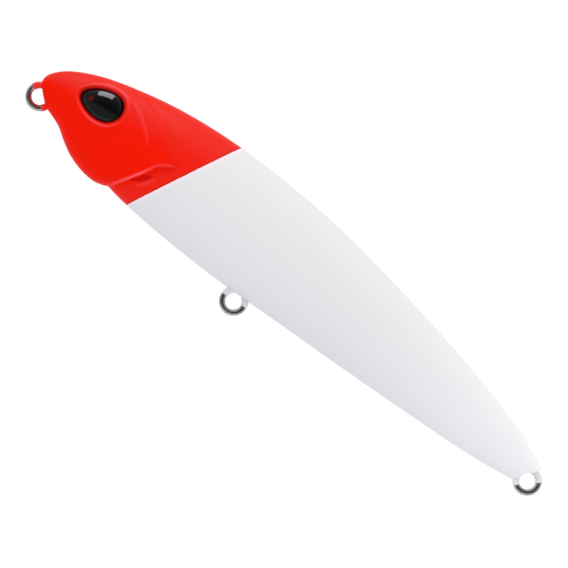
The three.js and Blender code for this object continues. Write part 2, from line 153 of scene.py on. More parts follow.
def underside_at(x):
    share = share_at(x)
    return np.where(share < GILL_STATION, chin_line(share), belly_line(share)) * DEPTH


def half_width_at(x):
    return width_line(share_at(x)) * HALF_WIDTH


def smoothstep(low, high, value):
    """Rises softly from 0 at low to 1 at high; low may be the larger one."""
    t = np.clip((value - low) / (high - low), 0, 1)
    return t * t * (3 - 2 * t)


def soft_positive(value, radius):
    """Like max(value, 0), rounded over about one radius."""
    return (value + np.sqrt(value * value + radius * radius)) / 2


# ---- end faces ------------------------------------------------------------------------

MOUTH_ANGLE = math.radians(228)       # the way that the mouth face looks, in XZ
MOUTH_SETBACK = 0.55                  # from the nose ring's centre back to the face
MOUTH_CUP_RADIUS = 1.3
MOUTH_CUP_DEPTH = 0.5
MOUTH_CUP_FADE = (-0.25, -0.02)       # the cup is full from the second of these to the face
TAIL_ANGLE = math.radians(-33.3)
TAIL_CHANNEL = 1.3                    # the tail face is hollowed this far round its ring
CHANNEL_ROUNDING = 0.06
EDGE_ROUNDING = 0.12
mouth_out = np.array([math.cos(MOUTH_ANGLE), 0, math.sin(MOUTH_ANGLE)])
tail_out = np.array([math.cos(TAIL_ANGLE), 0, math.sin(TAIL_ANGLE)])
tail_top = np.array([SNOUT + LENGTH, 0, float(back_at(SNOUT + LENGTH))])
tail_ring = RING_CENTRES["tail_hook_eye"]


def trim_ends(p, inset):
    """Presses what lies beyond the mouth face and the tail face onto those faces."""
    beyond = p @ mouth_out + MOUTH_SETBACK + inset
    p = p - soft_positive(beyond, EDGE_ROUNDING)[..., None] * mouth_out
    beyond = (p - tail_top) @ tail_out + inset
    forward = np.array([1 / tail_out[0], 0, 0])
    return p - soft_positive(beyond, EDGE_ROUNDING)[..., None] * forward


def hollow_ends(p):
    """Dents a cup into the mouth face, and a channel for the ring into the tail face."""
    off = p + mouth_out * MOUTH_SETBACK
    ahead = off @ mouth_out
    across = np.linalg.norm(off - ahead[..., None] * mouth_out, axis=-1)
    cup = MOUTH_CUP_DEPTH * np.maximum(1 - (across / MOUTH_CUP_RADIUS) ** 2, 0)
    p = p - (cup * smoothstep(*MOUTH_CUP_FADE, ahead))[..., None] * mouth_out
    off = (p - tail_ring) * np.array([1, 0, 1])
    gap = np.linalg.norm(off, axis=-1)
    push = soft_positive(TAIL_CHANNEL - gap, CHANNEL_ROUNDING)
    return p + off / np.maximum(gap, 0.05)[..., None] * push[..., None]


# ---- relief of the head ---------------------------------------------------------------

EYE_STATION = 0.0973
EYE_SHARE = 0.675
EYE_DEPTH = 1.9
EYE_TILT = math.radians(8)
EYE_HALF = (3.625, 2.5)               # half length and half height
EYE_POINT = 0.22                      # how much narrower the front end is
CLEARANCE = 0.3


def flank_at(x, z):
    """The plain form's half width at a place seen from the side."""
    top, bottom = back_at(x), underside_at(x)
    height = abs(2 * z - top - bottom) / (top - bottom)
    return half_width_at(x) * (1 - height ** SECTION_POWER) ** (1 / SECTION_POWER)


def eye_seat():
    """The left eye's seat: X along the eye to the tail, Z out of the flank."""
    x = SNOUT + EYE_STATION * LENGTH
    z = underside_at(x) + (back_at(x) - underside_at(x)) * EYE_SHARE
    step = 0.13
    slope_x = (flank_at(x + step, z) - flank_at(x - step, z)) / (2 * step)
    slope_z = (flank_at(x, z + step) - flank_at(x, z - step)) / (2 * step)
    out = Vector((-slope_x, -1, -slope_z)).normalized()
    along = Vector((math.cos(EYE_TILT), 0, math.sin(EYE_TILT)))
    along = (along - out * along.dot(out)).normalized()
    up = out.cross(along)
    floor = Vector((x, -flank_at(x, z), z)) - out * EYE_DEPTH
    seat = Matrix((along, up, out)).transposed().to_4x4()
    seat.translation = floor
    return np.array(seat)


EYE_SEAT = eye_seat()

# The rim round the eye, below and above it: how far its crest lies from the socket, and its
# height.
RIM_CREST = (0.95, 0.55)
RIM_HEIGHT = (0.32, 0.38)
RIM_START = 0.1
RIM_RUN_OUT = 1.1
# The gill plate's edge in XZ, from the shoulder to its tip and from the tip to the belly:
# x, z, height.
GILL_UPPER = np.array([
    (14.2, 9.6, 0.0), (16.2, 9.0, 0.03), (18.1, 8.1, 0.07), (20.0, 7.1, 0.10),
    (21.6, 6.0, 0.13), (22.8, 5.05, 0.16), (23.6, 4.4, 0.16),
])
GILL_LOWER = np.array([
    (23.6, 4.4, 0.30), (23.1, 3.85, 0.36), (22.25, 3.25, 0.42), (21.5, 2.45, 0.46),
    (21.1, 1.65, 0.50), (20.7, 0.8, 0.52), (20.05, -0.35, 0.52), (19.3, -1.65, 0.50),
    (18.45, -3.0, 0.42), (17.75, -4.0, 0.28), (17.4, -4.6, 0.12), (17.2, -5.3, 0.0),
])
# The edge closed round the front of the head, to tell the plate from what lies behind it.
GILL_OUTLINE = np.vstack([GILL_UPPER[:, :2], GILL_LOWER[:, :2], [(-5, -9), (-5, 13)]])
# How much of the edge's height the plate has, and how far ahead of the edge it levels out.
PLATE_SHARE = 0.6
LOWER_RUN_OUT = 3.0
UPPER_RUN_OUT = 1.5
# The bead along the plate's trailing edge: its distance from the edge, its width, its share.
BEAD = (0.3, 0.36, 0.45)
# The hollow behind the plate, likewise.
HOLLOW = (0.6, 0.5, 0.3)
# The plate's edge is sharp below and softer towards the shoulder: width, what is added, and
# the heights between which it is added.
EDGE_WIDTH = (0.12, 0.4, 4.6, 7.5)
# The ridge that runs on from the eye's rim over the cheek: x, z, height.
CHEEK_RIDGE = np.array([
    (9.6, 8.75, 0.0), (10.6, 8.7, 0.08), (11.6, 8.5, 0.14), (12.8, 8.2, 0.17),
    (14.2, 7.65, 0.18), (15.6, 6.8, 0.18), (17.0, 5.7, 0.15), (17.9, 4.9, 0.08),
    (18.6, 4.1, 0.0),
])
RIDGE_REACH = (0.42, 1.0)             # how far the ridge runs out below and above its crest
# The leaf-shaped slot behind the gill plate, and the fold beside it: x, z, height.
SLOT_ENDS = ((19.4, -1.55), (21.95, 1.05))
SLOT_HALF_WIDTH = 0.5
SLOT_DEPTH = 0.45
FOLD_LINE = np.array([
    (20.75, -1.9, 0.0), (21.2, -1.1, 0.1), (22.0, 0.0, 0.12), (22.9, 1.4, 0.0),
])
FOLD_REACH = 0.32


def bell(distance, reach):
    """1 at distance 0, falling off over about one reach on either side."""
    return np.exp(-(distance / reach) ** 2)


def near_line(x, z, line):
    """Distance to a line in XZ, whether below it, and its third column at the nearest place."""
    best = np.full(x.shape, 1e9)
    below = np.zeros(x.shape, bool)
    found = np.zeros(x.shape)
    for start, end in zip(line[:-1], line[1:]):
        run = end[:2] - start[:2]
        t = np.clip(((x - start[0]) * run[0] + (z - start[1]) * run[1]) / (run @ run), 0, 1)
        gap = np.hypot(x - start[0] - t * run[0], z - start[1] - t * run[1])
        closer = gap < best
        under = run[0] * (z - start[1]) - run[1] * (x - start[0]) < 0
        below = np.where(closer, under, below)
        best = np.where(closer, gap, best)
        found = np.where(closer, start[2] + t * (end[2] - start[2]), found)
    return best, below, found


def inside_outline(x, z, outline):
    """Whether points lie inside a closed outline in XZ."""
    inside = np.zeros(x.shape, bool)
    for (ax, az), (bx, bz) in zip(outline, np.roll(outline, -1, axis=0)):
        crosses = (az > z) != (bz > z)
        inside ^= crosses & (x < (bx - ax) * (z - az) / (bz - az + 1e-12) + ax)
    return inside


def egg_distance(p):
    """How far points lie outside the eye's outline, seen along the eye's own axis, and on which
    side of it: from -1 below the eye to 1 above it."""
    local = (p - EYE_SEAT[:3, 3]) @ EYE_SEAT[:3, :3]
    a = local[..., 0] / EYE_HALF[0]
    b = local[..., 1] / (EYE_HALF[1] * (1 + EYE_POINT * np.clip(a, -1.3, 1.3)))
    rho = np.hypot(a, b)
    away = np.hypot(local[..., 0], local[..., 1])
    rho_floor = np.maximum(rho, 0.1)
    return (rho - 1) * away / rho_floor, b / rho_floor


def slot_depth(x, z):
    """How deep the slot is, from 1 along its middle to 0 at its edge and outside it."""
    start, end = np.array(SLOT_ENDS)
    middle, run = (start + end) / 2, (end - start) / 2
    half = np.linalg.norm(run)
    u = ((x - middle[0]) * run[0] + (z - middle[1]) * run[1]) / half ** 2
    v = ((x - middle[0]) * -run[1] + (z - middle[1]) * run[0]) / half
    room = np.maximum(1 - u * u, 0)
    leaf = room ** 0.75 * SLOT_HALF_WIDTH
    return smoothstep(1.0, 0.35, np.abs(v) / np.maximum(leaf, 1e-3)) * np.sqrt(room)


def eye_rim(p, facing):
    """The rim's height: its crest lies close to the socket above the eye, and further below."""
    gap, upward = egg_distance(p)
    crest = RIM_CREST[0] + (RIM_CREST[1] - RIM_CREST[0]) * smoothstep(-0.5, 0.6, upward)
    high = RIM_HEIGHT[0] + (RIM_HEIGHT[1] - RIM_HEIGHT[0]) * smoothstep(-0.2, 0.9, upward)
    rim = smoothstep(RIM_START, crest, gap) * smoothstep(crest + RIM_RUN_OUT, crest, gap)
    return rim * high * smoothstep(0.12, 0.45, facing)


def gill_plate(x, z, facing):
    """The plate with a bead along its trailing edge, level with the head further forward."""
    upper_gap, _, upper = near_line(x, z, GILL_UPPER)
    lower_gap, _, lower = near_line(x, z, GILL_LOWER)
    sign = np.where(inside_outline(x, z, GILL_OUTLINE), 1, -1)
    ahead = sign * np.minimum(upper_gap, lower_gap)
    place, reach, share = BEAD
    level = PLATE_SHARE * np.exp(-lower_gap / LOWER_RUN_OUT)
    plate = lower * (level + share * bell(lower_gap - place, reach))
    plate = plate + upper * np.exp(-upper_gap / UPPER_RUN_OUT)
    width, more, low, high = EDGE_WIDTH
    plate = plate * smoothstep(-1, 1, ahead / (width + more * smoothstep(low, high, z)))
    place, reach, share = HOLLOW
    hollow = share * lower * bell(ahead + place, reach) * (ahead < 0)
    return (plate - hollow) * smoothstep(0.05, 0.35, facing)


def relief_at(p, facing):
    """How far the head stands out from the plain form on the left flank. facing is 1 where the
    plain form looks straight to the side and 0 where it looks up or down."""
    x, z = p[..., 0], p[..., 2]
    relief = eye_rim(p, facing)
    gap, below, high = near_line(x, z, CHEEK_RIDGE)
    relief = relief + high * bell(gap, np.where(below, *RIDGE_REACH))
    relief = relief + gill_plate(x, z, facing)
    relief = relief - SLOT_DEPTH * slot_depth(x, z)
    gap, _, high = near_line(x, z, FOLD_LINE)
    return relief + high * bell(gap, FOLD_REACH)


# ---- painted highlights, shade and sheen for the red paint ----------------------------

# The painted highlight along the gill plate's edge: x, z, strength.
GILL_HIGHLIGHT = np.array([
    (23.55, 4.4, 0.30), (22.9, 4.0, 0.38), (22.0, 3.45, 0.28), (21.25, 2.6, 0.30),
    (20.85, 1.8, 0.50), (20.45, 0.95, 0.80), (19.8, -0.2, 1.0), (19.05, -1.5, 0.95),
    (18.2, -2.85, 0.70), (17.5, -3.9, 0.50), (17.2, -4.5, 0.2),
])
GILL_HIGHLIGHT_REACH = 0.19
# The painted highlight round the eye, at its two ends and what is added above and below it.
EYE_HIGHLIGHT_GAP = (0.72, 0.14)
EYE_HIGHLIGHT = (0.05, 0.58)
EYE_HIGHLIGHT_REACH = 0.2
# The painted highlights on the cheek's ridge and on the fold, for each millimetre of their
# height.
RIDGE_HIGHLIGHT = 1.3
RIDGE_HIGHLIGHT_REACH = 0.24
FOLD_HIGHLIGHT = 2.0
FOLD_HIGHLIGHT_REACH = 0.25
# The shade in the joint round the dome, in the hollow behind the plate, and in the slot: along
# its middle, and what is added half way down its sides.
JOINT_SHADE = 0.9
HOLLOW_SHADE = 0.16
SLOT_SHADE = (0.05, 0.75)


def painted_light_at(p):
    """Painted light on the red of the left flank: painted highlights along the crests above 0,
    painted shade round the eye, in the hollow and in the slot below 0.
    """
    x, z = p[..., 0], p[..., 2]
    gap, upward = egg_distance(p)
    line = EYE_HIGHLIGHT_GAP[0] + EYE_HIGHLIGHT_GAP[1] * upward
    light = EYE_HIGHLIGHT[0] + EYE_HIGHLIGHT[1] * upward ** 2
    painted_light = light * bell(gap - line, EYE_HIGHLIGHT_REACH)
    painted_light = painted_light - JOINT_SHADE * smoothstep(0.55, 0.05, gap)
    gap, _, high = near_line(x, z, CHEEK_RIDGE)
    painted_light = painted_light + RIDGE_HIGHLIGHT * high * bell(gap, RIDGE_HIGHLIGHT_REACH)
    gap, _, strength = near_line(x, z, GILL_HIGHLIGHT)
    painted_light = painted_light + strength * bell(gap, GILL_HIGHLIGHT_REACH)
    gap, below, _ = near_line(x, z, GILL_LOWER)
    behind = np.where(below, 0, smoothstep(1.3, 0.5, gap) * smoothstep(0.1, 0.4, gap))
    behind = behind * smoothstep(-1.6, 0.5, z) * smoothstep(4.2, 3.2, z)
    painted_light = painted_light - HOLLOW_SHADE * behind
    gap, _, high = near_line(x, z, FOLD_LINE)
    painted_light = painted_light + FOLD_HIGHLIGHT * high * bell(gap, FOLD_HIGHLIGHT_REACH)
    slot = slot_depth(x, z)
    return painted_light - SLOT_SHADE[0] * slot - SLOT_SHADE[1] * slot * (1 - slot)


BACK_SHEEN = (0.46, 0.13)              # shares of the depth: where the painted sheen ends, and is full
SNOUT_SHEEN = (0.08, 0.1)              # what the snout adds to them
SNOUT_REACH = (9, 3)                  # x: where the snout's part starts, and is full
GILL_PALE = 0.5


def painted_sheen_at(p):
    """Painted sheen: how far the red turns paler and duller over the back and snout, and a
    little behind the gill.
    """
    x, z = p[..., 0], p[..., 2]
    top, bottom = back_at(x), underside_at(x)
    share = (top - z) / np.maximum(top - bottom, 0.1)
    snout = smoothstep(*SNOUT_REACH, x)
    end, full = (size + more * snout for size, more in zip(BACK_SHEEN, SNOUT_SHEEN))
    painted_sheen = smoothstep(end, full, share)
    gap, _, _ = near_line(x, z, GILL_LOWER)
    behind = np.where(inside_outline(x, z, GILL_OUTLINE), 0, smoothstep(0.1, 1.2, gap))
    behind = behind * smoothstep(15, 17, x) * smoothstep(8, 4, z)
    return painted_sheen + (1 - painted_sheen) * GILL_PALE * behind


# ---- the two halves of the body -------------------------------------------------------

SEAM_DEPTH = 0.03                     # of the hairline where the halves meet
SEAM_FADE = (1, 5)                    # depths of the body where it starts, and is full
# The gill bends the sections: heights on the flank against how far back the underside's kink
# has moved there.
GILL_SWEEP = ((-4.6, -3.8, -2.8, -1.5, -0.2, 1.0, 2.6), (0, 0.35, 1.0, 1.8, 2.6, 3.2, 4.0))
SWEEP_HEIGHTS = (3.5, 8)              # middle and half range of the heights of a section
SWEEP_START = (9, 16)                 # x: the bending comes in, and goes out again
SWEEP_END = (32, 21)
# Shares of the last section that close the tail's face, ring by ring.
TAIL_CAP = (0.94, 0.86, 0.76, 0.66, 0.56, 0.46, 0.36, 0.26, 0.17, 0.08)


def form(x, angle, inset):
    """Points of the plain right flank, for arrays of x and of the angle round the section."""
    power = 2 / SECTION_POWER
    rise = np.sign(np.sin(angle)) * np.abs(np.sin(angle)) ** power
    across = np.maximum(np.cos(angle), 0) ** power
    # Exactly on the middle plane at the back and the underside.
    across = np.where(np.abs(np.cos(angle)) < 1e-9, 0, across)
    sweep = np.interp(SWEEP_HEIGHTS[0] + SWEEP_HEIGHTS[1] * rise, *GILL_SWEEP)
    sweep = sweep * smoothstep(*SWEEP_START, x) * smoothstep(*SWEEP_END, x)
    top, bottom = back_at(x), underside_at(x - sweep)
    mid, half = (top + bottom) / 2, np.maximum((top - bottom) / 2 - inset, 0)
    width = np.maximum(half_width_at(x) - inset, 0)
    return np.stack([x + 0 * angle, width * across, mid + half * rise], axis=-1)


def rows_between(stops):
    """Places along X with the spacing given for each stretch: (start, spacing), ..., end."""
    places = []
    for (start, spacing), (end, _) in zip(stops[:-1], stops[1:]):
        count = max(int(round((end - start) / spacing)), 1)
        places.extend(np.linspace(start, end, count, endpoint=False))
    return np.array(places + [stops[-1][0]])


def raise_relief(body):
    """Moves rows of points out by the head's relief, in place."""
    along, around = np.gradient(body, axis=0), np.gradient(body, axis=1)
    normal = np.cross(around, along)
    normal /= np.maximum(np.linalg.norm(normal, axis=-1), 1e-12)[..., None]
    # The relief is laid out for the left flank, and these points are of the right one.
    mirrored = body * np.array([1, -1, 1])
    body += normal * relief_at(mirrored, normal[..., 1])[..., None]
    body[:, (0, -1), 1] = 0


def half_points(places, sides, inset):
    """Rows of points of the right flank, and the two poles that close its ends. The outermost
    layer, with no inset, also gets the relief, the hollowed end faces and the seam."""
    x = np.concatenate([places, np.full(len(TAIL_CAP), places[-1])])
    scale = np.concatenate([np.ones(len(places)), TAIL_CAP])
    angle = np.linspace(-math.pi / 2, math.pi / 2, sides)
    p = form(x[:, None], angle[None, :], inset)
    centre = np.stack([x, 0 * x, (p[:, 0, 2] + p[:, -1, 2]) / 2], axis=-1)[:, None, :]
    p = centre + (p - centre) * scale[:, None, None]
    poles = np.stack([centre[0, 0], centre[-1, 0]])
    if inset:
        return trim_ends(p, inset), trim_ends(poles, inset)
    raise_relief(p[: len(places)])
    poles[0] = (SNOUT, 0, float(back_at(SNOUT)))
    p, poles = (hollow_ends(trim_ends(points, 0)) for points in (p, poles))
    groove = SEAM_DEPTH * smoothstep(*SEAM_FADE, p[:, -1, 2] - p[:, 0, 2])
    p[:, 0, 2] += groove
    p[:, -1, 2] -= groove
    return p, poles


def half_faces(rows, sides):
    """Faces of a flank's rows and poles, and the outline of its flat side."""
    nose, tail = rows * sides, rows * sides + 1
    last = (rows - 1) * sides
    faces = [
        (a + j, a + j + 1, a + sides + j + 1, a + sides + j)
        for a in range(0, last, sides) for j in range(sides - 1)
    ]
    faces += [(nose, j + 1, j) for j in range(sides - 1)]
    faces += [(last + j, last + j + 1, tail) for j in range(sides - 1)]
    above = [i * sides + sides - 1 for i in range(rows)]
    below = [i * sides for i in reversed(range(rows))]
    return faces, [nose, *above, tail, *below]


def half_solid(places, sides, side, inset=0.0, extend=0.0):
    """A closed half of the body, side -1 or 1, that reaches extend over the middle plane."""
    p, poles = half_points(places, sides, inset)
    verts = np.concatenate([p.reshape(-1, 3), poles])
    faces, rim = half_faces(len(p), sides)
    if extend:
        far = range(len(verts), len(verts) + len(rim))
        verts = np.concatenate([verts, verts[rim] - np.array([0, extend, 0])])
        for k in range(len(rim)):
            faces.append((rim[k - 1], rim[k], far[k], far[k - 1]))
        rim = far
    faces.append(tuple(rim))
    return to_object("half", verts * np.array([1, side, 1]), faces)


# ---- meshes and booleans, in millimetres ----------------------------------------------

def to_object(name, verts, faces):
    """A closed mesh object with its faces turned outwards."""
    mesh = bpy.data.meshes.new(name)
    mesh.from_pydata([tuple(v) for v in verts], [], [tuple(int(i) for i in f) for f in faces])
    return link(name, outward(mesh))


def outward(mesh):
    """The same mesh with double points joined and every face turned outwards."""
    work = bmesh.new()
    work.from_mesh(mesh)
    bmesh.ops.remove_doubles(work, verts=work.verts, dist=1e-5)
    bmesh.ops.recalc_face_normals(work, faces=work.faces)
    if work.calc_volume(signed=True) < 0:
        bmesh.ops.reverse_faces(work, faces=work.faces)
    work.to_mesh(mesh)
    work.free()
    return mesh


def link(name, mesh):
    """A new object of the mesh, in the scene."""
    made = bpy.data.objects.new(name, mesh)
    bpy.context.scene.collection.objects.link(made)
    return made


def carve(base, cutters, operation="DIFFERENCE"):
    """Takes the cutters away from base or adds them to it, and uses them up."""
    for cutter in cutters:
        step = base.modifiers.new("step", "BOOLEAN")
        step.solver = "MANIFOLD"
        step.operation = operation
        step.object = cutter
    bpy.context.view_layer.update()
    graph = bpy.context.evaluated_depsgraph_get()
    result = bpy.data.meshes.new_from_object(base.evaluated_get(graph))
    base.modifiers.clear()
    old = base.data
    base.data = result
    bpy.data.meshes.remove(old)
    for cutter in cutters:
        scrap = cutter.data
        bpy.data.objects.remove(cutter)
        bpy.data.meshes.remove(scrap)


def cad_copy(node):
    """The CAD node's closed mesh, copied into millimetres."""
    mesh = frame["nodes"][node].data.copy()
    mesh.transform(Matrix.Scale(1 / MM, 4))
    mesh.materials.clear()
    return link("copy_" + node, outward(mesh))


def finish_piece(obj, name, material, body, replaced, sharp=35):
    """Scales a piece to metres, names and shades it, and ties it to the frame."""
    obj.name = name
    obj.data.name = name
    obj.data.transform(Matrix.Scale(MM, 4))
    obj.data.materials.clear()
    obj.data.materials.append(material)
    obj.data.polygons.foreach_set("material_index", [0] * len(obj.data.polygons))
    obj.data.polygons.foreach_set("use_smooth", [True] * len(obj.data.polygons))
    obj.data.set_sharp_from_angle(angle=math.radians(sharp))
    obj.data.update()
    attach(obj, body)
    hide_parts(*replaced)


def ring_faces(rings, sides):
    """Faces that join rings of points one after another, and close the first and the last."""
    faces = []
    for a in range(0, (rings - 1) * sides, sides):
        for j in range(sides):
            k = (j + 1) % sides
            faces.append((a + j, a + k, a + sides + k, a + sides + j))
    last = (rings - 1) * sides
    return faces + [tuple(range(sides)), tuple(range(last, last + sides))]


END_TURNS = np.radians((75, 60, 45, 30, 15))     # rings that round off the end of a bar
END_FLATNESS = 0.5


def tube(points, radius, sides, round_ends=False):
    """Points and faces of a round bar; radius may differ from point to point."""
    points = np.array(points, float)
    radius = np.broadcast_to(radius, len(points)).astype(float)
    tangent = np.gradient(points, axis=0)
    tangent /= np.linalg.norm(tangent, axis=1)[:, None]
    if round_ends:
        size = radius[0] * np.cos(END_TURNS)
        out = radius[0] * END_FLATNESS * np.sin(END_TURNS)
        head = points[0] - tangent[0] * out[:, None]
        foot = points[-1] + tangent[-1] * out[::-1, None]
        points = np.vstack([head, points, foot])
        count = len(END_TURNS)
        tangent = np.vstack([[tangent[0]] * count, tangent, [tangent[-1]] * count])
        radius = np.concatenate([size, radius, size[::-1]])
    side = np.cross(tangent[0], (0, 1, 0))
    side /= np.linalg.norm(side)
    turn = np.linspace(0, 2 * math.pi, sides, endpoint=False)
    verts = []
    for place, way, r in zip(points, tangent, radius):
        side = side - way * (side @ way)
        side /= np.linalg.norm(side)
        other = np.cross(way, side)
        verts.append(place + r * (np.cos(turn)[:, None] * side + np.sin(turn)[:, None] * other))
    return np.vstack(verts), ring_faces(len(points), sides)


# ---- wires ----------------------------------------------------------------------------

# The angle between a wire's axis and where its strands leave the loop and the ring.
TANGENT = math.acos(2 * LOOP_RADIUS / LOOP_SPACING)
TUCK_ANGLE = math.radians(40)
LOOP_STEPS, RING_STEPS, STRAND_STEPS, TUCK_STEPS = 72, 96, 12, 14
WIRE_SIDES, HOLE_SIDES = 24, 32
HOLE_RADIUS = WIRE_RADIUS + 0.09
HOLE_OVERRUN = 0.3                    # each stretch of a hole runs on into the next
COAT = 0.05                           # thickness of the paint on a wire's root
COAT_EDGE = 0.12


def bend(centre, start, end, y_start, y_end, steps):
    """An arc round centre in XZ that drifts from y_start to y_end."""
    t = np.linspace(0, 1, steps)
    angle = start + (end - start) * t
    return np.stack([
        centre[0] + LOOP_RADIUS * np.cos(angle),
        y_start + (y_end - y_start) * smoothstep(0, 1, t),
        centre[2] + LOOP_RADIUS * np.sin(angle),
    ], axis=-1)


def wire_parts(ring, inward):
    """The stretches of one wire, in order: loop, strand, ring, strand, tuck."""
    loop = ring + LOOP_SPACING * np.array([math.cos(inward), 0, math.sin(inward)])
    turn, side = 2 * math.pi, STRAND_OFFSET
    start, end = inward + math.pi + TANGENT, inward + math.pi + turn - TANGENT
    first = bend(loop, start, end, side, side, LOOP_STEPS)
    outer = bend(ring, inward + turn - TANGENT, inward + TANGENT, side, -side, RING_STEPS)
    tuck = bend(loop, start, start + TUCK_ANGLE, -side, -side, TUCK_STEPS)
    strand_out = np.linspace(first[-1], outer[0], STRAND_STEPS)
    strand_back = np.linspace(outer[-1], tuck[0], STRAND_STEPS)
    return first, strand_out, outer, strand_back, tuck


# Each wire's ring centre, and the way that its strands run into the body, in XZ.
WIRES = {
    "line_tie_wire": (RING_CENTRES["line_tie"], math.radians(48)),
    "belly_hook_hanger": (RING_CENTRES["belly_hook_eye"], math.pi / 2),
    "tail_hook_hanger": (RING_CENTRES["tail_hook_eye"], math.pi - math.radians(18.5)),
}
# Where each wire's painted root ends: direction in XZ, and how far along it in millimetres.
PAINTED_ROOTS = {
    "line_tie_wire": ((-0.541, -0.841), 0.46),
    "belly_hook_hanger": ((0.08, -1.0), 9.8),
    "tail_hook_hanger": ((0.679, -0.734), 67.0),
}


def wire_piece(node):
    """A bent wire, thicker where paint covers its root."""
    *stretches, tuck = wire_parts(*WIRES[node])
    path = np.vstack([stretch[:-1] for stretch in stretches] + [tuck])
    direction, limit = PAINTED_ROOTS[node]
    along = path[:, (0, 2)] @ direction - limit
    coat = COAT * smoothstep(COAT_EDGE, -COAT_EDGE, along)
    return to_object(node, *tube(path, WIRE_RADIUS + coat, WIRE_SIDES, round_ends=True))


def lengthened(points, reach):
    """points with one more before the first and one after the last."""
    before, after = points[0] - points[1], points[-1] - points[-2]
    before = points[0] + before / np.linalg.norm(before) * reach
    after = points[-1] + after / np.linalg.norm(after) * reach
    return np.vstack([before, points, after])


def wire_holes():
    """Close-fitting holes for the wires through the outer layer of the body."""
    holes = []
    for ring, inward in WIRES.values():
        for stretch in wire_parts(ring, inward)[1:4]:
            path = lengthened(stretch, HOLE_OVERRUN)
            holes.append(to_object("hole", *tube(path, HOLE_RADIUS, HOLE_SIDES)))
    return holes


# ---- eyes -----------------------------------------------------------------------------

FILM_TOP = CLEARANCE + 0.3
DOME_BASE = FILM_TOP + CLEARANCE
DOME_CHAMFER = 0.1
DOME_EDGE = 0.4                       # height of the dome's upright edge
DOME_RISE = 1.25
DOME_STEPS = 30
SOCKET_GAP = 0.05                     # paint closes up most of the CAD's clearance
SOCKET_HEIGHTS = (-0.01, 9)           # the socket's cutter, from its floor out of the flank
DOME_GAP = -0.08
EYE_SIDES = 96


def egg_rings(profile, margin, side):
    """A closed solid over the eye's outline. profile gives (share of the outline, height)."""
    turn = np.linspace(0, 2 * math.pi, EYE_SIDES, endpoint=False)
    rings = []
    for share, height in profile:
        a, b = np.cos(turn) * share, np.sin(turn) * share
        rings.append(np.stack([
            a * (EYE_HALF[0] + margin),
            b * (EYE_HALF[1] + margin) * (1 + EYE_POINT * a),
            np.full(EYE_SIDES, height),
        ], axis=-1))
    verts = np.vstack(rings) @ EYE_SEAT[:3, :3].T + EYE_SEAT[:3, 3]
    verts[:, 1] *= -side
    return to_object("egg", verts, ring_faces(len(profile), EYE_SIDES))


def dome_profile():
    """The dome from its flat underside over its chamfer and edge to its top."""
    profile = [(share, DOME_BASE) for share in (0.3, 0.7, 0.97)]
    chamfer_top, edge_top = DOME_BASE + DOME_CHAMFER, DOME_BASE + DOME_EDGE
    profile += [(1, height) for height in np.linspace(chamfer_top, edge_top, 3)]
    for turn in np.radians(np.linspace(4, 88, DOME_STEPS)):
        profile.append((math.cos(turn), edge_top + DOME_RISE * math.sin(turn)))
    return profile


# ---- materials ------------------------------------------------------------------------

class Tree:
    """Short hands for building a tree of nodes."""

    def __init__(self, owner):
        owner.use_nodes = True
        self.tree = owner.node_tree
        self.tree.nodes.clear()

    def add(self, kind):
        return self.tree.nodes.new("ShaderNode" + kind)

    def put(self, socket, value):
        """Sets a socket to a value, or links another socket to it."""
        if isinstance(value, bpy.types.NodeSocket):
            self.tree.links.new(value, socket)
        else:
            socket.default_value = value

    def math(self, operation, *values):
        node = self.add("Math")
        node.operation = operation
        for socket, value in zip(node.inputs, values):
            self.put(socket, value)
        return node.outputs[0]

    def vector(self, operation, *values):
        node = self.add("VectorMath")
        node.operation = operation
        for socket, value in zip(node.inputs, values):
            self.put(socket, value)
        return node.outputs["Value" if operation in ("DOT_PRODUCT", "LENGTH") else "Vector"]

    def ramp(self, value, low, high, to_low=0.0, to_high=1.0):
        """A smooth step of value from low to high."""
        node = self.add("MapRange")
        node.interpolation_type = "SMOOTHSTEP"
        for socket, given in zip(node.inputs, (value, low, high, to_low, to_high)):
            self.put(socket, given)
        return node.outputs[0]

    def mix(self, factor, first, second):
        """A colour between first and second."""
        node = self.add("Mix")
        node.data_type = "RGBA"
        self.put(node.inputs["Factor"], factor)
        for socket, value in zip((node.inputs[6], node.inputs[7]), (first, second)):
            self.put(socket, value if isinstance(value, bpy.types.NodeSocket) else (*value, 1))
        return node.outputs[2]


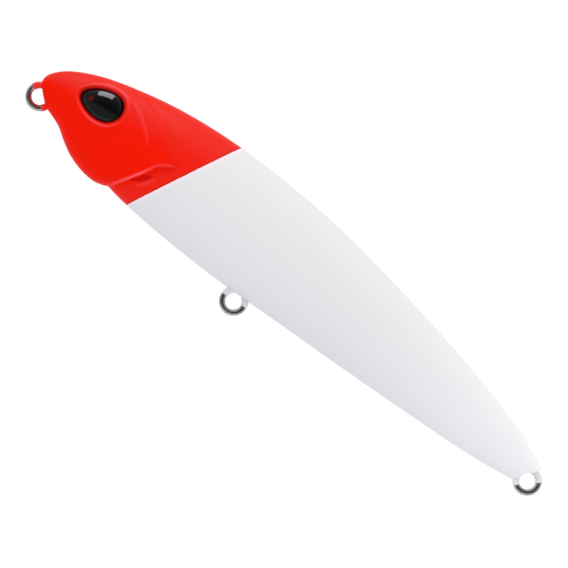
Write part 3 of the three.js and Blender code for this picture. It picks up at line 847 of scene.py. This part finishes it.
class Looks(Tree):
    """The nodes of one material."""

    def __init__(self, name):
        self.material = bpy.data.materials.new(name)
        super().__init__(self.material)
        self.shader = self.add("BsdfPrincipled")
        self.put(self.add("OutputMaterial").inputs[0], self.shader.outputs[0])
        place = self.add("TexCoord").outputs["Object"]
        self.place = self.vector("MULTIPLY", place, (1 / MM,) * 3)

    def along(self, direction, offset=0.0):
        """How far a place lies along a direction past an offset, in millimetres."""
        distance = self.vector("DOT_PRODUCT", self.place, direction)
        return self.math("SUBTRACT", distance, offset) if offset else distance

    def attribute(self, name):
        node = self.add("Attribute")
        node.attribute_name = name
        return node.outputs["Fac"]

    def noise(self, scale, detail=2.0, roughness=0.5, stretch=None):
        node = self.add("TexNoise")
        self.put(node.inputs["Vector"],
                 self.vector("MULTIPLY", self.place, stretch) if stretch else self.place)
        self.put(node.inputs["Scale"], scale)
        self.put(node.inputs["Detail"], detail)
        self.put(node.inputs["Roughness"], roughness)
        return node.outputs[0]

    def wobble(self, scale, detail, size):
        """Noise about 0."""
        return self.math("MULTIPLY", self.math("SUBTRACT", self.noise(scale, detail), 0.5), size)

    def mix_value(self, factor, first, second):
        """A number between first and second."""
        node = self.add("Mix")
        node.data_type = "FLOAT"
        for socket, value in zip((node.inputs[0], *node.inputs[2:4]), (factor, first, second)):
            self.put(socket, value)
        return node.outputs[0]

    def bump(self, height, strength, distance):
        node = self.add("Bump")
        self.put(node.inputs["Height"], height)
        self.put(node.inputs["Strength"], strength)
        self.put(node.inputs["Distance"], distance * MM)
        self.put(self.shader.inputs["Normal"], node.outputs[0])

    def set(self, **values):
        for name, value in values.items():
            self.put(self.shader.inputs[name.replace("_", " ")], value)


RED = (0.925, 0.0080, 0.0002)
RED_PATCHES = (0.905, 0.0098, 0.0005)
# painted sheen: paler, duller red over the back and snout
SHEEN_RED = (0.85, 0.0240, 0.0150)
# painted highlight along the crests of the head's relief
HIGHLIGHT_RED = (1.0, 0.12, 0.13)
# painted shade in the joint round the eye, the hollow and the slot
SHADE_RED = (0.30, 0.0, 0.001)
BORDER_RED = (0.36, 0.012, 0.012)
RED_HALO = (1.0, 0.80, 0.84)
WHITE = (0.79, 0.79, 0.80)
# painted light: the white a little lighter over the back
WHITE_LIT_TOP = (0.80, 0.80, 0.80)
WHITE_PATCHES = (0.76, 0.76, 0.775)
# painted light: the white lighter towards the tail
WHITE_LIT_TAIL = (0.87, 0.865, 0.885)
PAINT_LINE = ((0.904, 0.0, -0.4276), 21.466)     # normal of the colour border and its offset


def white_paint(n, border):
    """The body's white, painted a little lighter over the back and towards the tail, with red
    spray mist close behind the border.
    """
    # painted light: lighter over the back, and below, towards the tail
    white = n.mix(n.ramp(n.along((0, 0, 1)), -3, 10), WHITE, WHITE_LIT_TOP)
    white = n.mix(n.math("MULTIPLY", n.noise(0.09), 0.10), white, WHITE_PATCHES)
    white = n.mix(n.ramp(n.along((1, 0, 0)), 55, 105), white, WHITE_LIT_TAIL)
    halo = n.math("MULTIPLY", n.ramp(border, 0.0, 0.08), n.ramp(border, 0.52, 0.26))
    return n.mix(n.math("MULTIPLY", halo, 0.9), white, RED_HALO)


def red_paint(n, border):
    """The head's red, with the painted highlights, painted shade and painted sheen stored on the
    mesh, and darker along the border.
    """
    red = n.mix(n.ramp(n.noise(0.22, 3), 0.35, 0.7), RED, RED_PATCHES)
    # painted sheen: paler red over the back and snout, and a little behind the gill
    red = n.mix(n.attribute("painted_sheen"), red, SHEEN_RED)
    painted_light = n.attribute("painted_light")
    # painted highlights: pink along the crests of the rim, ridge, gill edge and fold
    red = n.mix(n.math("MAXIMUM", painted_light, 0.0), red, HIGHLIGHT_RED)
    # painted shade: darker red in the joint round the eye, the hollow and the slot
    red = n.mix(n.math("MAXIMUM", n.math("MULTIPLY", painted_light, -1.0), 0.0), red, SHADE_RED)
    return n.mix(n.math("MULTIPLY", n.ramp(border, -0.32, -0.06), 0.55), red, BORDER_RED)


def paint_shell():
    n = Looks("painted_shell")
    border = n.math("ADD", n.along(*PAINT_LINE), n.wobble(1.1, 3, 0.10))
    is_white = n.ramp(border, -0.05, 0.05)
    # Grain, and the step down from the red layer to the white.
    grain = n.math("MULTIPLY", n.noise(2.2, 3), 0.35)
    step = n.math("MULTIPLY", n.ramp(border, -0.12, 0.12), -0.6)
    n.bump(n.math("ADD", grain, step), 0.35, 0.03)
    n.set(
        Base_Color=n.mix(is_white, red_paint(n, border), white_paint(n, border)),
        Roughness=n.ramp(n.noise(0.5), 0.2, 0.8, 0.36, 0.42),
        Specular_IOR_Level=0.02, IOR=1.5, Coat_Weight=0.012, Coat_Roughness=0.3, Coat_IOR=1.5,
    )
    return n.material


def metal(name, colour, roughness, root=None, root_colour=WHITE):
    """Polished or ground metal. A wire's root gives where paint covers it."""
    n = Looks(name)
    fine = n.noise(5.0, 4, 0.6, stretch=(1, 6, 1))
    shade = n.mix(n.ramp(n.noise(1.4, 3), 0.3, 0.75), colour, tuple(c * 0.8 for c in colour))
    rough = n.ramp(fine, 0.25, 0.75, roughness * 0.8, roughness * 1.4)
    if root is None:
        n.set(Base_Color=shade, Metallic=1.0, Roughness=rough)
    else:
        (x, z), limit = root
        along = n.math("ADD", n.along((x, 0, z), limit), n.wobble(2.5, 2, 0.35))
        bare = n.ramp(along, -0.07, 0.07)
        n.set(
            Base_Color=n.mix(bare, root_colour, shade),
            Metallic=bare,
            Roughness=n.mix_value(bare, 0.35, rough),
        )
    n.bump(fine, 0.15, 0.01)
    return n.material


EYE_BLACK = (0.0022, 0.0022, 0.003)
# painted reflection in the lower half of the eye
EYE_PAINTED_REFLECTION = (0.0105, 0.0120, 0.0120)
EYE_DOT = (0.17, 0.0005, 0.001)
EYE_DOT_RIM = (0.07, 0.0005, 0.001)
EYE_DOT_CENTRE = (6.68, 0, 4.78)
EYE_DOT_EDGE = (0.48, 0.36)           # distance from the dot's centre: black, then red
EYE_REFLECTION_LINE = (-0.14, 0, 1)             # across the line below which a painted reflection makes the eye lighter


def eye_resin():
    n = Looks("eye_resin")
    flat = n.vector("MULTIPLY", n.vector("SUBTRACT", n.place, EYE_DOT_CENTRE), (1, 0, 1))
    away = n.vector("LENGTH", flat)
    # painted reflection: the eye lighter below a line across it
    black_with_reflection = n.mix(n.ramp(n.along(EYE_REFLECTION_LINE), 3.75, 3.15), EYE_BLACK, EYE_PAINTED_REFLECTION)
    dot = n.mix(n.ramp(away, 0.16, 0.3), EYE_DOT, EYE_DOT_RIM)
    n.bump(n.noise(1.2), 0.05, 0.01)
    n.set(
        Base_Color=n.mix(n.ramp(away, *EYE_DOT_EDGE), black_with_reflection, dot),
        Roughness=n.ramp(n.noise(0.8), 0.3, 0.7, 0.05, 0.09),
        IOR=1.5, Specular_IOR_Level=0.28,
    )
    return n.material


def film():
    n = Looks("eye_film")
    n.set(
        Base_Color=n.mix(n.noise(3), (0.004, 0.004, 0.005), (0.012, 0.012, 0.013)),
        Roughness=n.ramp(n.noise(2), 0.2, 0.8, 0.3, 0.45),
    )
    n.bump(n.noise(6), 0.1, 0.01)
    return n.material


CHROME = (0.55, 0.56, 0.56)
GROUND_STEEL = (0.56, 0.57, 0.59)
BRASS = (0.69, 0.50, 0.20)
paint = paint_shell()
wire_looks = {
    node: metal("steel_" + node, CHROME, 0.12, root, colour)
    for (node, root), colour in zip(PAINTED_ROOTS.items(), (RED, WHITE, WHITE))
}
resin = eye_resin()
black_film = film()
steel = metal("ball_steel", GROUND_STEEL, 0.22)
brass = metal("knocker_brass", BRASS, 0.25)


# ---- the pieces -----------------------------------------------------------------------

HEAD_START = 3.2                      # x: from here to the snout the rows draw together
NOSE_ROWS = 42
nose_rows = SNOUT + (HEAD_START - SNOUT) * (np.arange(1, NOSE_ROWS) / NOSE_ROWS) ** 2
body_rows = rows_between([(HEAD_START, 0.13), (26, 0.8), (93, 0.22), (101.6, 1)])
outer_rows = np.concatenate([nose_rows, body_rows])
inner_rows = rows_between([(0.5, 0.5), (8, 1.0), (100, 1)])
OUTER_SIDES, INNER_SIDES = 176, 60
SKIN = 0.7                            # the CAD's hollows start this far below the surface
PARTING = 0.5                         # how far the cutting bodies reach over the middle
PIN_LENGTH = 2.0
PIN_RADIUS = 1.0
PIN_ROOT = 0.9                        # how deep a pin is sunk in its boss
PIN_CHAMFER = (0.3, 0.29)             # across and along
PIN_SIDES = 32


def pins_in(shell):
    """Centres in XZ of the locating pins, found as what stands over the middle plane."""
    tips = [v.co for v in shell.data.vertices if v.co.y > PARTING]
    centres = []
    while tips:
        first = tips[0]
        group = [t for t in tips if math.hypot(t.x - first.x, t.z - first.z) < 3 * PIN_RADIUS]
        tips = [t for t in tips if t not in group]
        centres.append((
            (min(t.x for t in group) + max(t.x for t in group)) / 2,
            (min(t.z for t in group) + max(t.z for t in group)) / 2,
        ))
    return centres


def pin_solid(x, z):
    """The left half's pin through x, z, with its chamfered tip in the right half's socket."""
    across, along = PIN_CHAMFER
    turn = np.linspace(0, 2 * math.pi, PIN_SIDES, endpoint=False)
    verts = []
    for y, radius in (
        (-PIN_ROOT, PIN_RADIUS), (PIN_LENGTH - along, PIN_RADIUS),
        (PIN_LENGTH, PIN_RADIUS - across),
    ):
        verts += [(x + radius * math.cos(t), y, z + radius * math.sin(t)) for t in turn]
    return to_object("pin", verts, ring_faces(3, PIN_SIDES))


def shell_half(node, name, side):
    """A half of the body: its outer layer worked out anew, its hollows taken from the CAD."""
    cad = cad_copy(node)
    pins = pins_in(cad) if side < 0 else []
    hollows = half_solid(inner_rows, INNER_SIDES, side, inset=SKIN, extend=PARTING)
    carve(hollows, [cad])
    body = half_solid(outer_rows, OUTER_SIDES, side)
    socket = egg_rings([(1, height) for height in SOCKET_HEIGHTS], SOCKET_GAP, side)
    carve(body, [hollows, socket] + wire_holes())
    seen = np.empty(len(body.data.vertices) * 3)
    body.data.vertices.foreach_get("co", seen)
    seen = seen.reshape(-1, 3) * np.array([1, -side, 1])
    # painted highlights, painted shade and painted sheen for the red, kept on the mesh
    for word, values in (("painted_light", painted_light_at(seen)), ("painted_sheen", painted_sheen_at(seen))):
        layer = body.data.attributes.new(word, "FLOAT", "POINT")
        layer.data.foreach_set("value", values.astype(np.float32))
    if pins:
        carve(body, [pin_solid(x, z) for x, z in pins], "UNION")
    finish_piece(body, name, paint, "shell", [node])


shell_half("shell_left", "body_half_left", -1)
shell_half("shell_right", "body_half_right", 1)

for node, look in wire_looks.items():
    finish_piece(wire_piece(node), node + "_round", look, "shell", [node], sharp=50)

for side, word in ((-1, "left"), (1, "right")):
    dome = egg_rings(dome_profile(), DOME_GAP, side)
    name = "eye_dome_clear_" + word
    finish_piece(dome, name, resin, "shell", ["eye_dome_" + word])
    frame["nodes"]["eye_film_" + word].material_slots[0].material = black_film


BALL_CUTS = 13


def ball_piece(node, body, look):
    """A ball of even small squares, in place of the CAD's coarse one."""
    low, high = cad_box(node)
    centre, radius = (low + high) / 2, (high[2] - low[2]) / 2
    work = bmesh.new()
    bmesh.ops.create_cube(work, size=2)
    bmesh.ops.subdivide_edges(work, edges=work.edges, cuts=BALL_CUTS, use_grid_fill=True)
    for v in work.verts:
        squared = v.co.copy()
        for axis in range(3):
            squared[axis] = math.tan(v.co[axis] * math.pi / 4)
        v.co = Vector(centre) + squared.normalized() * radius
    mesh = bpy.data.meshes.new(node)
    work.to_mesh(mesh)
    work.free()
    finish_piece(link(node, mesh), node + "_ground", look, body, [node], sharp=60)


for body, members in record["behaviour"]["bodies"].items():
    for node in members:
        if "ball" in node:
            is_brass = node.startswith("knocker")
            look, slot = (brass, "knocker_brass") if is_brass else (steel, "ball_steel")
            ball_piece(node, body, look)


# ---- floor, light and camera ----------------------------------------------------------

FLOOR_HALF = 0.25
FLOOR_GLOW = (0.8, 0.8, 0.8, 1)


def lay_floor():
    """A pale plane under the lure, which throws no light of its own on it."""
    low, high = CAD_BOUNDS
    middle = (low[0] + high[0]) / 2
    corners = [(-1, -1), (1, -1), (1, 1), (-1, 1)]
    mesh = bpy.data.meshes.new("floor")
    mesh.from_pydata(
        [(middle + a * FLOOR_HALF, b * FLOOR_HALF, low[2]) for a, b in corners],
        [], [(0, 1, 2, 3)],
    )
    look = Looks("floor")
    look.set(
        Base_Color=look.mix(look.noise(0.02), (0.30, 0.30, 0.30), (0.32, 0.32, 0.32)),
        Roughness=1.0, Specular_IOR_Level=0.0,
        Emission_Color=FLOOR_GLOW, Emission_Strength=1.0,
    )
    mesh.materials.append(look.material)
    floor = link("floor", mesh)
    floor.visible_diffuse = False
    floor.visible_glossy = False


LIGHT_ABOVE = (1.09, 1.09, 1.085)
LIGHT_BELOW = (0.895, 0.885, 0.94)
HORIZON = (-0.2, 0.2)
# What reflections see: the dark of the camera's side, the walls at the sides, the backdrop
# behind the lure, and the table, which lies low and towards the tail.
GLOSS_FRONT = (0.09, 0.09, 0.09)
GLOSS_SIDE = (0.48, 0.48, 0.48)
GLOSS_BEHIND = (0.85, 0.85, 0.85)
GLOSS_TABLE = (0.75, 0.75, 0.75)
FRONT_EDGE = (-0.88, -0.25)
BEHIND_EDGE = (-0.2, 0.4)
TABLE_EDGE = (-0.85, -0.4)
TABLE_TILT = (-0.5, 0.0, 0.866)


def studio():
    """White for the camera, soft light from all round, and a room for reflections."""
    world = bpy.data.worlds.new("studio")
    bpy.context.scene.world = world
    n = Tree(world)
    ray = n.add("TexCoord").outputs["Generated"]

    def ramp_along(direction, edge):
        return n.ramp(n.vector("DOT_PRODUCT", ray, direction), *edge)

    around = n.mix(ramp_along((0, 0, 1), HORIZON), LIGHT_BELOW, LIGHT_ABOVE)
    room = n.mix(ramp_along((0, 1, 0), FRONT_EDGE), GLOSS_FRONT, GLOSS_SIDE)
    room = n.mix(ramp_along((0, 1, 0), BEHIND_EDGE), room, GLOSS_BEHIND)
    room = n.mix(ramp_along(TABLE_TILT, TABLE_EDGE), GLOSS_TABLE, room)
    path = n.add("LightPath")
    colour = n.mix(path.outputs["Is Glossy Ray"], around, room)
    colour = n.mix(path.outputs["Is Camera Ray"], colour, (1, 1, 1))
    background = n.add("Background")
    n.put(background.inputs["Color"], colour)
    n.put(n.add("OutputWorld").inputs[0], background.outputs[0])
    world.cycles.sampling_method = "NONE"


def turned(x_axis, y_axis, z_axis, place):
    """The pose with these axes at a place."""
    pose = Matrix((x_axis, y_axis, z_axis)).transposed().to_4x4()
    pose.translation = place
    return pose


SOFTBOX_TARGET = Vector((8, -6, 7)) * MM
SOFTBOX_TOWARDS = Vector((-0.44, -0.12, 0.85)).normalized()
SOFTBOX_LONG_SIDE = Vector((0.1, 0.75, 0.1))
SOFTBOX_DISTANCE = 0.4
SOFTBOX_SIZE = (0.76, 0.5)            # shares of its distance
SOFTBOX_RADIANCE = 9.5


def softbox():
    """The softbox over the back: the window in the eye, and the sheen on the paint."""
    towards = SOFTBOX_TOWARDS
    long_side = SOFTBOX_LONG_SIDE - towards * SOFTBOX_LONG_SIDE.dot(towards)
    long_side.normalize()
    data = bpy.data.lights.new("softbox", "AREA")
    data.shape = "RECTANGLE"
    data.size, data.size_y = (share * SOFTBOX_DISTANCE for share in SOFTBOX_SIZE)
    # Radiance times area times pi gives the light's power in watts.
    data.energy = SOFTBOX_RADIANCE * data.size * data.size_y * math.pi
    light = bpy.data.objects.new("softbox", data)
    bpy.context.scene.collection.objects.link(light)
    place = SOFTBOX_TARGET + towards * SOFTBOX_DISTANCE
    light.matrix_world = turned(long_side, towards.cross(long_side), towards, place)
    light.visible_camera = False
    light.visible_diffuse = False


VIEW_TURN = math.radians(38.28)       # the lure dips to the right of the photograph by this
VIEW_CENTRE = Vector((48.60, 0, 0.64)) * MM
VIEW_DISTANCE = 1.5
VIEW_WIDTH = 0.0897


def aim_camera():
    """The photograph's view: level with the lure, square to its left flank, and rolled."""
    data = bpy.data.cameras.new("camera")
    data.sensor_width = 36
    data.lens = data.sensor_width * VIEW_DISTANCE / VIEW_WIDTH
    data.clip_start, data.clip_end = 0.01, 20
    camera = bpy.data.objects.new("camera", data)
    bpy.context.scene.collection.objects.link(camera)
    right = Vector((math.cos(VIEW_TURN), 0, math.sin(VIEW_TURN)))
    up = Vector((-math.sin(VIEW_TURN), 0, math.cos(VIEW_TURN)))
    back = Vector((0, -1, 0))
    camera.matrix_world = turned(right, up, back, VIEW_CENTRE + back * VIEW_DISTANCE)
    bpy.context.scene.camera = camera


lay_floor()
studio()
softbox()
aim_camera()
bpy.context.scene.view_settings.view_transform = "Standard"
